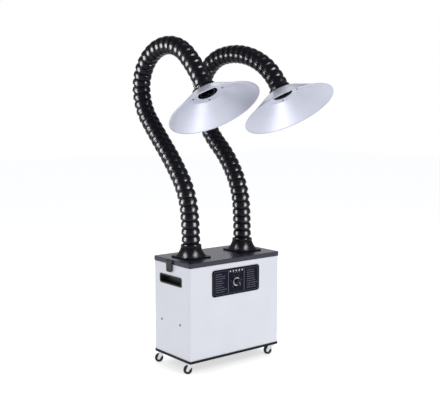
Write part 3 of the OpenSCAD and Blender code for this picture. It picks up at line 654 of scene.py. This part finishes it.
def screw_head(points):
    """Top of a screw's head and the direction out of it."""
    middle = (points.min(0) + points.max(0)) / 2
    axis = np.linalg.svd(points - points.mean(0), full_matrices=False)[2][0]
    along = (points - middle) @ axis
    across = np.linalg.norm(points - middle - np.outer(along, axis), axis=1)
    if along[np.argmax(across)] < 0:
        axis, along = -axis, -along
    return Vector(middle + axis * along.max()), Vector(axis)


def cut_cross_slots(node, first_turn):
    """Cross recesses in a group of screw heads, each turned another way, cut by a modifier."""
    length, width, depth = 4.4 * MM, 0.9 * MM, 1.3 * MM
    turn_step = 1.7
    bm = bmesh.new()
    for k, points in enumerate(islands(node)):
        top, axis = screw_head(points)
        turn = Matrix.Rotation(first_turn + turn_step * k, 4, "Z")
        place = Matrix.Translation(top) @ axis.to_track_quat("Z", "Y").to_matrix().to_4x4() @ turn
        for quarter in (0.0, math.pi / 2):
            slot = place @ Matrix.Rotation(quarter, 4, "Z") @ Matrix.Diagonal((length, width, 2 * depth, 1.0))
            bmesh.ops.create_cube(bm, size=1.0, matrix=slot)
    mesh = bpy.data.meshes.new(node + "_slots")
    bm.to_mesh(mesh)
    bm.free()
    cutter = bpy.data.objects.new(node + "_slots", mesh)
    bpy.context.scene.collection.objects.link(cutter)
    cutter.hide_render = True
    cutter.hide_viewport = True
    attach(cutter, body_of(node))
    modifier = frame["nodes"][node].modifiers.new("Cross slots", "BOOLEAN")
    modifier.operation = "DIFFERENCE"
    modifier.solver = "EXACT"
    modifier.use_self = True
    modifier.object = cutter


# Operators

class EXTRACTOR_OT_cabinet(bpy.types.Operator):
    """Paint the walls, the rear panel, the base tray and the lid"""
    bl_idname = "extractor.cabinet"
    bl_label = "Cabinet"
    bl_options = {"REGISTER", "UNDO"}

    def execute(self, context):
        look = context.scene.extractor_finishes
        white = painted_metal("white_powder_coat", look.white_paint,
                              peel=1.6 * MM, depth=0.02 * MM, rough=0.36)
        black = painted_metal("black_powder_coat", look.black_paint,
                              peel=0.9 * MM, depth=0.02 * MM, rough=0.24, speckle=0.2)
        # Painted shade: the base tray gets the lid's black paint made darker, standing in for the shade low
        # down by the floor.
        enamel = painted_metal("base_enamel", tint(look.black_paint, 0.3),
                               peel=0.9 * MM, depth=0.03 * MM, rough=0.45, specular=0.15)
        coat_nodes(white, "cabinet_shell", "rear_panel")
        coat_nodes(black, "top_lid")
        coat_nodes(enamel, "base_plate")
        return {"FINISHED"}


class EXTRACTOR_OT_control_panel(bpy.types.Operator):
    """Print the control panel and finish its dial"""
    bl_idname = "extractor.control_panel"
    bl_label = "Control panel"
    bl_options = {"REGISTER", "UNDO"}

    def execute(self, context):
        sizes, look = context.scene.extractor_panel, context.scene.extractor_finishes
        knob = moulded_plastic("knob_plastic", tint(look.black_plastic, 0.5),
                               grain=0.4 * MM, depth=0.02 * MM, rough=0.45, specular=0.2)
        coat_nodes(printed_film("panel_film", sizes.film, sizes.edge, sizes.band), "control_panel")
        coat_nodes(knob, "speed_knob")
        coat_nodes(plated_steel("bright_ring", tint(look.zinc, 1.4), rough=0.30), "knob_ring", "dial_shaft")
        coat_nodes(circuit_board("control_board", look.board), "control_board")
        self.print_lines(sizes)
        self.print_marks(sizes)
        self.print_scale(sizes)
        self.print_dots(sizes)
        self.paint_pointer(sizes)
        return {"FINISHED"}

    def print_lines(self, sizes):
        """Line round the field, and the two dividers."""
        line, radius, divider_gap = 0.9 * MM, 6 * MM, 3 * MM
        width = PANEL_HIGH.x - PANEL_LOW.x - 2 * sizes.band
        height = PANEL_HIGH.z - PANEL_LOW.z - 2 * sizes.band
        lines = PanelPrint(sizes.ink)
        lines.ring(rounded_outline(width, height, radius),
                   rounded_outline(width - 2 * line, height - 2 * line, radius - line),
                   PANEL_MIDDLE.x, PANEL_MIDDLE.z)
        for side in (-1, 1):
            lines.bar(sizes.divider_w, height - 2 * divider_gap, side * sizes.divider_x, PANEL_MIDDLE.z)
        make_piece("panel_lines", lines.bm, ink("grey_line_ink", sizes.line), "cabinet")

    def print_marks(self, sizes):
        """Rows of short grey bars where a maker would print notes."""
        column_x, column_w = 75 * MM, 46 * MM
        rows, top, row_gap = 9, PANEL_HIGH.z - 17 * MM, 8.2 * MM
        height, gap = 2.2 * MM, 1.6 * MM
        row_share, widths = (0.62, 1.0), (4.0, 11.0)
        rng = np.random.default_rng(7)
        marks = PanelPrint(sizes.ink)
        for side in (-1, 1):
            start = side * column_x - column_w / 2
            for row in range(rows):
                x = start
                while x < start + column_w * rng.uniform(*row_share):
                    width = rng.uniform(*widths) * MM
                    marks.bar(width, height, x + width / 2, top - row * row_gap)
                    x += width + gap
        make_piece("panel_marks", marks.bm, ink("grey_mark_ink", sizes.marks), "cabinet")

    def print_scale(self, sizes):
        """Ticks round the dial, and a number at every second one."""
        first, last = JOINTS["dial_turn"]["range_deg"]
        sweep = math.radians(last - first)
        tick_l, tick_w, numeral_gap = 3 * MM, 0.7 * MM, 6.2 * MM
        tick_r, numeral_r = sizes.scale_r + tick_l / 2, sizes.scale_r + numeral_gap
        scale = PanelPrint(sizes.ink)
        for step in range(sizes.steps + 1):
            angle = math.pi / 2 + sweep / 2 - sweep * step / sizes.steps
            c, s = math.cos(angle), math.sin(angle)
            scale.bar(tick_l, tick_w, DIAL.x + tick_r * c, DIAL.z + tick_r * s, angle)
            if step % 2 == 0:
                scale.numeral(str(step), sizes.numeral_h, DIAL.x + numeral_r * c, DIAL.z + numeral_r * s)
        make_piece("panel_scale", scale.bm, ink("scale_ink", sizes.scale), "cabinet")

    def print_dots(self, sizes):
        """Row of white dots along the top edge, and a row of short bars under them."""
        dots, dot_r, dot_gap, dot_drop = 5, 2.7 * MM, 14.2 * MM, 11 * MM
        bars, bar_w, bar_h, bar_gap, bar_drop = 4, 5 * MM, 1.6 * MM, 10 * MM, 18 * MM
        row = PanelPrint(sizes.ink)
        for dot in range(dots):
            row.shape(round_outline(dot_r), (dot - (dots - 1) / 2) * dot_gap, PANEL_HIGH.z - dot_drop)
        make_piece("panel_dots", row.bm, ink("white_ink", sizes.white), "cabinet")
        row = PanelPrint(sizes.ink)
        for bar in range(bars):
            row.bar(bar_w, bar_h, (bar - (bars - 1) / 2) * bar_gap, PANEL_HIGH.z - bar_drop)
        make_piece("panel_bars", row.bm, ink("pale_ink", sizes.scale), "cabinet")

    def paint_pointer(self, sizes):
        """White line in the knob's groove."""
        length, width, thick, edge = 9.5 * MM, 1.3 * MM, 0.4 * MM, 0.15 * MM
        middle_r, sink, turn = 8 * MM, 0.35 * MM, math.radians(45)
        place = Matrix.Translation((DIAL.x, KNOB_FRONT + sink, DIAL.z)) @ Matrix.Rotation(turn, 4, "Y")
        stretch = Matrix.Translation((middle_r, 0, 0)) @ Matrix.Diagonal((length, thick, width, 1.0))
        bm = bmesh.new()
        bmesh.ops.create_cube(bm, size=1.0, matrix=place @ stretch)
        bmesh.ops.bevel(bm, geom=bm.edges, offset=edge, segments=2, affect="EDGES")
        make_piece("knob_pointer", bm, ink("pointer_paint", sizes.white), "dial")


class EXTRACTOR_OT_fittings(bpy.types.Operator):
    """Finish the latches, pockets, inlet, screws and casters"""
    bl_idname = "extractor.fittings"
    bl_label = "Fittings"
    bl_options = {"REGISTER", "UNDO"}

    def execute(self, context):
        look = context.scene.extractor_finishes
        grained = moulded_plastic("grained_plastic", look.black_plastic,
                                  grain=0.7 * MM, depth=0.05 * MM, rough=0.46)
        zinc = plated_steel("zinc_plate", look.zinc, rough=0.26)
        coat_nodes(grained, "handle_cups", "latch_left", "latch_right", "power_inlet")
        coat_nodes(zinc, "flange_screws", "latch_pins", "filter_shelf", "caster_plates",
                   *("caster_fork_" + c for c in CASTERS))
        coat_nodes(plated_steel("screw_steel", tint(look.zinc, 0.3), rough=0.3), "cabinet_screws",
                   *("hood_screws_" + s for s in SIDES))
        coat_nodes(rubber("wheel_rubber", look.rubber), *("caster_wheel_" + c for c in CASTERS))
        screws = ("cabinet_screws", "flange_screws", "hood_screws_left", "hood_screws_right")
        for turn, node in enumerate(screws):
            cut_cross_slots(node, turn)
        return {"FINISHED"}


class EXTRACTOR_OT_filters(bpy.types.Operator):
    """Make the fleece mat and the lid's foam strip, and finish the paper filters"""
    bl_idname = "extractor.filters"
    bl_label = "Filters and seal"
    bl_options = {"REGISTER", "UNDO"}

    def execute(self, context):
        look, sizes = context.scene.extractor_finishes, context.scene.extractor_soft
        paper = fibre("filter_paper", look.paper, size=0.6 * MM, depth=0.06 * MM)
        coat_nodes(paper, "main_filter", "middle_filter")
        self.make_mat(look, sizes)
        self.make_seal(look, sizes)
        return {"FINISHED"}

    def make_mat(self, look, sizes):
        """Fleece mat: flat below, waved above, with soft edges."""
        low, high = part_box("pre_filter")
        size = high - low
        columns, rows = (round(side / sizes.mat_cell) for side in (size.x, size.y))
        xs = [low.x + size.x * i / columns for i in range(columns + 1)]
        ys = [low.y + size.y * j / rows for j in range(rows + 1)]
        bm = bmesh.new()
        sheets = [[[bm.verts.new((x, y, self.mat_height(x, y, low, high, sizes, top))) for y in ys]
                   for x in xs] for top in (False, True)]
        for sheet in sheets:
            for i in range(columns):
                for j in range(rows):
                    bm.faces.new((sheet[i][j], sheet[i + 1][j], sheet[i + 1][j + 1], sheet[i][j + 1]))
        rim = ([(i, 0) for i in range(columns)] + [(columns, j) for j in range(rows)]
               + [(i, rows) for i in range(columns, 0, -1)] + [(0, j) for j in range(rows, 0, -1)])
        for k, (i, j) in enumerate(rim):
            m, n = rim[(k + 1) % len(rim)]
            bm.faces.new((sheets[0][i][j], sheets[0][m][n], sheets[1][m][n], sheets[1][i][j]))
        fleece = fibre("white_fleece", look.fleece, size=1.1 * MM, depth=0.5 * MM)
        mat = make_piece("fleece_mat", bm, fleece, "cabinet")
        mat.data.shade_smooth()
        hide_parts("pre_filter")

    @staticmethod
    def mat_height(x, y, low, high, sizes, top):
        """Height of the mat's upper or lower side at a point."""
        under_share, swing = 0.35, 0.6
        edge = min(x - low.x, high.x - x, y - low.y, high.y - y)
        inset = max(0.0, 1.0 - edge / sizes.mat_edge)
        drop = sizes.mat_edge * (1.0 - math.sqrt(1.0 - min(1.0, inset) ** 2))
        if not top:
            return low.z + under_share * drop
        waves, ripples, ripple_share = 22.0, 70.0, 0.5
        wave = noise.noise(Vector((x * waves, y * waves, 0.0)))
        ripple = noise.noise(Vector((x * ripples, y * ripples, 3.0)))
        return high.z - sizes.mat_wave * (1.0 - swing * (wave + ripple_share * ripple)) - drop

    def make_seal(self, look, sizes):
        """Foam strip under the lid: straight sides, then a crown below."""
        low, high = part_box("lid_gasket")
        size = high - low
        steps, side_share = 8, 0.45
        outer_r, least_r = 5 * MM, 1 * MM
        bm = bmesh.new()
        loops = []
        for step in range(steps + 1):
            inset = sizes.seal_w * step / steps
            crown = math.sqrt(1.0 - (2 * step / steps - 1) ** 2)
            drop = side_share + (1.0 - side_share) * crown if 0 < step < steps else 0.0
            outline = rounded_outline(size.x - 2 * inset, size.y - 2 * inset, max(outer_r - inset, least_r))
            loops.append([bm.verts.new((u, (low.y + high.y) / 2 + v, high.z - size.z * drop))
                          for u, v in outline])
        bridge_loops(bm, loops)
        seal = make_piece("foam_strip", bm, foam("black_foam", look.rubber), "lid")
        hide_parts("lid_gasket")


class EXTRACTOR_OT_blower(bpy.types.Operator):
    """Finish the blower inside the cabinet"""
    bl_idname = "extractor.blower"
    bl_label = "Blower"
    bl_options = {"REGISTER", "UNDO"}

    def execute(self, context):
        look = context.scene.extractor_finishes
        sheet = plated_steel("galvanised_sheet", tint(look.zinc, 0.85), rough=0.4)
        enamel = painted_metal("motor_enamel", look.black_paint,
                               peel=1.2 * MM, depth=0.03 * MM, rough=0.32)
        plastic = moulded_plastic("impeller_plastic", look.black_plastic,
                                  grain=0.5 * MM, depth=0.02 * MM, rough=0.42)
        coat_nodes(sheet, "blower_housing", "motor_shaft")
        coat_nodes(enamel, "blower_motor")
        coat_nodes(plastic, "blower_impeller")
        return {"FINISHED"}


class EXTRACTOR_OT_arms(bpy.types.Operator):
    """Polish the beads, flanges and collars of both arms, and make the flanges' skirts"""
    bl_idname = "extractor.arms"
    bl_label = "Arms"
    bl_options = {"REGISTER", "UNDO"}

    def execute(self, context):
        beads = glossy_beads("arm_beads", context.scene.extractor_finishes.arm_plastic)
        nodes = [node for node in frame["nodes"] if "_arm_" in node]
        coat_nodes(beads, *nodes, *(f"arm_flange_{s}" for s in SIDES), *(f"hood_collar_{s}" for s in SIDES))
        for side in SIDES:
            self.make_flare(side, beads, context.scene.extractor_flare)
        return {"FINISHED"}

    def make_flare(self, side, material, sizes):
        """Skirt that runs out in a hollow curve from a flange's ring to its square foot."""
        levels, steps, sharp_angle = 14, 72, math.radians(35)
        low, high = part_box(f"arm_flange_{side}")
        middle = (low + high) / 2
        base, top = low.z + sizes.foot_t, high.z - sizes.ring_h
        wall = round_outline(sizes.wall_r, steps)
        foot = soft_square((high.x - low.x) / 2 - sizes.margin, steps)
        inside = round_outline(sizes.wall_r - sizes.wall_t, steps)
        last = math.exp((base - top) / sizes.bend)
        outlines = [(base - sizes.sink, inside), (base - sizes.sink, foot)]
        for level in range(levels + 1):
            z = base + (top - base) * level / levels
            spread = (math.exp((base - z) / sizes.bend) - last) / (1.0 - last)
            outlines.append((z, [(u + (p - u) * spread, v + (q - v) * spread)
                                 for (u, v), (p, q) in zip(wall, foot)]))
        outlines.append((top, inside))
        bm = bmesh.new()
        bridge_loops(bm, [[bm.verts.new((middle.x + u, middle.y + v, z)) for u, v in points]
                          for z, points in outlines])
        skirt = make_piece(f"flange_skirt_{side}", bm, material, "lid")
        skirt.data.shade_smooth()
        skirt.data.set_sharp_from_angle(angle=sharp_angle)


class EXTRACTOR_OT_hoods(bpy.types.Operator):
    """Finish both spun hoods and their dampers"""
    bl_idname = "extractor.hoods"
    bl_label = "Hoods"
    bl_options = {"REGISTER", "UNDO"}

    def execute(self, context):
        look = context.scene.extractor_finishes
        duct_r = 32 * MM
        for side in SIDES:
            centre = Vector(JOINTS[f"{side}_hood_tilt"]["pos_m"])
            axis = (Vector(JOINTS[f"{side}_damper_turn"]["pos_m"]) - centre).normalized()
            sheet = spun_aluminium(f"spun_aluminium_{side}", look.aluminium, centre, axis)
            steel = damper_steel(f"damper_steel_{side}", look.zinc, centre, axis, duct_r)
            coat_nodes(sheet, f"hood_{side}")
            coat_nodes(steel, f"damper_{side}")
        return {"FINISHED"}


class Lamp(NamedTuple):
    """A softbox: its place and size in metres, and what it lights."""
    name: str
    power: str          # the stage setting that holds its power
    place: tuple
    size: tuple
    share: float = 1.0  # share of that power
    lights: tuple = ()  # words in the names of the pieces that it lights, or none for all pieces
    unseen: str = ""    # the object's setting for a kind of ray that doesn't meet it


ARM_PIECES = ("_arm_", "hood_collar")
FLANGE_PIECES = ("_flange_", "flange_skirt")
LAMPS = (
    Lamp("softbox_left", "key", (-2.25, 0.99, 2.4), (1.2, 1.2), share=0.6),
    Lamp("softbox_right", "key", (0.74, -2.34, 2.4), (1.2, 1.2), share=1.6),
    Lamp("softbox_back", "key", (0.9, 2.1, 2.4), (1.6, 1.6), share=1.1),
    Lamp("strip_left", "strip", (-2.25, 0.99, 0.8), (1.2, 1.5), lights=ARM_PIECES, unseen="visible_diffuse"),
    Lamp("strip_right", "strip", (0.74, -2.34, 0.8), (1.2, 1.5), lights=ARM_PIECES, unseen="visible_diffuse"),
    Lamp("flange_light_left", "flange", (-1.53, 0.67, 2.16), (0.9, 1.2), lights=FLANGE_PIECES,
         unseen="visible_diffuse"),
    Lamp("flange_light_right", "flange", (0.5, -1.59, 2.16), (0.9, 1.2), lights=FLANGE_PIECES,
         unseen="visible_diffuse"),
    Lamp("hood_sheen", "sheen", (0.49, -0.77, 0.02), (0.5, 0.35), lights=("hood_left", "hood_right"),
         unseen="visible_diffuse"),
    Lamp("lid_gleam", "gleam", (1.55, 1.95, 0.75), (2.4, 0.7), lights=("top_lid",), unseen="visible_diffuse"),
    Lamp("hood_fill", "fill", (-1.3, -0.2, 0.12), (0.8, 0.5), lights=("hood_left",), unseen="visible_glossy"),
)
LAMP_AIM = Vector((0.0, 0.0, 0.7))  # the point that all lamps are turned to
FLOOR_HALF = 12.0                   # half the floor's width


class EXTRACTOR_OT_stage(bpy.types.Operator):
    """Set up the floor, the light and the camera"""
    bl_idname = "extractor.stage"
    bl_label = "Stage"
    bl_options = {"REGISTER", "UNDO"}

    def execute(self, context):
        scene = context.scene
        stage = scene.extractor_stage
        scene.view_settings.view_transform = "Standard"
        scene.cycles.use_denoising = True
        self.place_camera(scene, stage)
        self.lay_floor(scene, stage)
        self.light_surround(scene, stage)
        for lamp in LAMPS:
            self.hang_softbox(scene, lamp, lamp.share * getattr(stage, lamp.power))
        return {"FINISHED"}

    def place_camera(self, scene, stage):
        """Camera at the set angles and distance from its target."""
        a, e = stage.azimuth, stage.elevation
        back = Vector((math.sin(a) * math.cos(e), -math.cos(a) * math.cos(e), math.sin(e)))
        target = Vector((math.cos(a), math.sin(a), 0.0)) * stage.target_side + Vector((0, 0, stage.target_z))
        camera = bpy.data.cameras.new("camera")
        camera.lens = stage.lens
        camera.sensor_width = 36.0
        camera.sensor_fit = "HORIZONTAL"
        holder = bpy.data.objects.new("camera", camera)
        holder.location = target + back * stage.distance
        holder.rotation_euler = back.to_track_quat("Z", "Y").to_euler()
        scene.collection.objects.link(holder)
        scene.camera = holder

    def lay_floor(self, scene, stage):
        """Wide pale floor with a glow of its own, so that it meets the white behind it unseen."""
        material, f = new_finish("pale_floor")
        f.shade({"Base Color": stage.floor, "Roughness": 0.9, "Emission Color": (1.0, 1.0, 1.0),
                 "Emission Strength": stage.glow})
        bm = bmesh.new()
        bmesh.ops.create_grid(bm, x_segments=1, y_segments=1, size=FLOOR_HALF)
        mesh = bpy.data.meshes.new("floor")
        bm.to_mesh(mesh)
        bm.free()
        mesh.materials.append(material)
        floor = bpy.data.objects.new("floor", mesh)
        scene.collection.objects.link(floor)

    def light_surround(self, scene, stage):
        """White to the camera, and a soft grey light on the object."""
        world = bpy.data.worlds.new("surround")
        world.use_nodes = True
        scene.world = world
        f = Finish(world.node_tree)
        seen = f.add("ShaderNodeLightPath", output="Is Camera Ray")
        soft = f.add("ShaderNodeBackground", inputs={"Color": (0.93, 0.95, 1.0), "Strength": stage.surround})
        white = f.add("ShaderNodeBackground", inputs={"Color": (1.0, 1.0, 1.0), "Strength": 1.0})
        both = f.add("ShaderNodeMixShader", inputs={0: seen, 1: soft, 2: white})
        f.add("ShaderNodeOutputWorld", inputs={"Surface": both})

    def hang_softbox(self, scene, lamp, power):
        """A lamp turned to the object, for all its pieces or for some."""
        light = bpy.data.lights.new(lamp.name, "AREA")
        light.shape = "RECTANGLE"
        light.size, light.size_y = lamp.size
        light.energy = power
        holder = bpy.data.objects.new(lamp.name, light)
        holder.location = lamp.place
        holder.rotation_euler = (LAMP_AIM - Vector(lamp.place)).to_track_quat("-Z", "Y").to_euler()
        holder.visible_camera = False
        if lamp.unseen:
            setattr(holder, lamp.unseen, False)
        if lamp.lights:
            holder.light_linking.receiver_collection = self.group_pieces(scene, lamp)
        scene.collection.objects.link(holder)

    @staticmethod
    def group_pieces(scene, lamp):
        """A collection of the pieces that a lamp lights."""
        group = bpy.data.collections.new(lamp.name + "_pieces")
        for piece in scene.objects:
            if piece.type == "MESH" and any(word in piece.name for word in lamp.lights):
                group.objects.link(piece)
        return group


OPERATORS = (
    EXTRACTOR_OT_cabinet,
    EXTRACTOR_OT_control_panel,
    EXTRACTOR_OT_fittings,
    EXTRACTOR_OT_filters,
    EXTRACTOR_OT_blower,
    EXTRACTOR_OT_arms,
    EXTRACTOR_OT_hoods,
    EXTRACTOR_OT_stage,
)


class EXTRACTOR_PT_sidebar(bpy.types.Panel):
    """Lists the steps that dress the extractor."""
    bl_idname = "EXTRACTOR_PT_sidebar"
    bl_label = "Fume Extractor"
    bl_space_type = "VIEW_3D"
    bl_region_type = "UI"
    bl_category = "Fume Extractor"

    def draw(self, context):
        for operator in OPERATORS:
            self.layout.operator(operator.bl_idname)
        for group in GROUPS:
            settings = getattr(context.scene, group)
            box = self.layout.box()
            for key in settings.__annotations__:
                box.prop(settings, key)


def register():
    """Adds the settings, the operators and the panel to Blender."""
    for name, group in GROUPS.items():
        bpy.utils.register_class(group)
        setattr(bpy.types.Scene, name, PointerProperty(type=group))
    for operator in OPERATORS:
        bpy.utils.register_class(operator)
    bpy.utils.register_class(EXTRACTOR_PT_sidebar)


def unregister():
    """Takes them away again."""
    bpy.utils.unregister_class(EXTRACTOR_PT_sidebar)
    for operator in reversed(OPERATORS):
        bpy.utils.unregister_class(operator)
    for name, group in GROUPS.items():
        delattr(bpy.types.Scene, name)
        bpy.utils.unregister_class(group)


def main():
    """Runs every operator in order."""
    register()
    for operator in OPERATORS:
        group, step = operator.bl_idname.split(".")
        getattr(getattr(bpy.ops, group), step)()


if __name__ == "__main__":
    main()
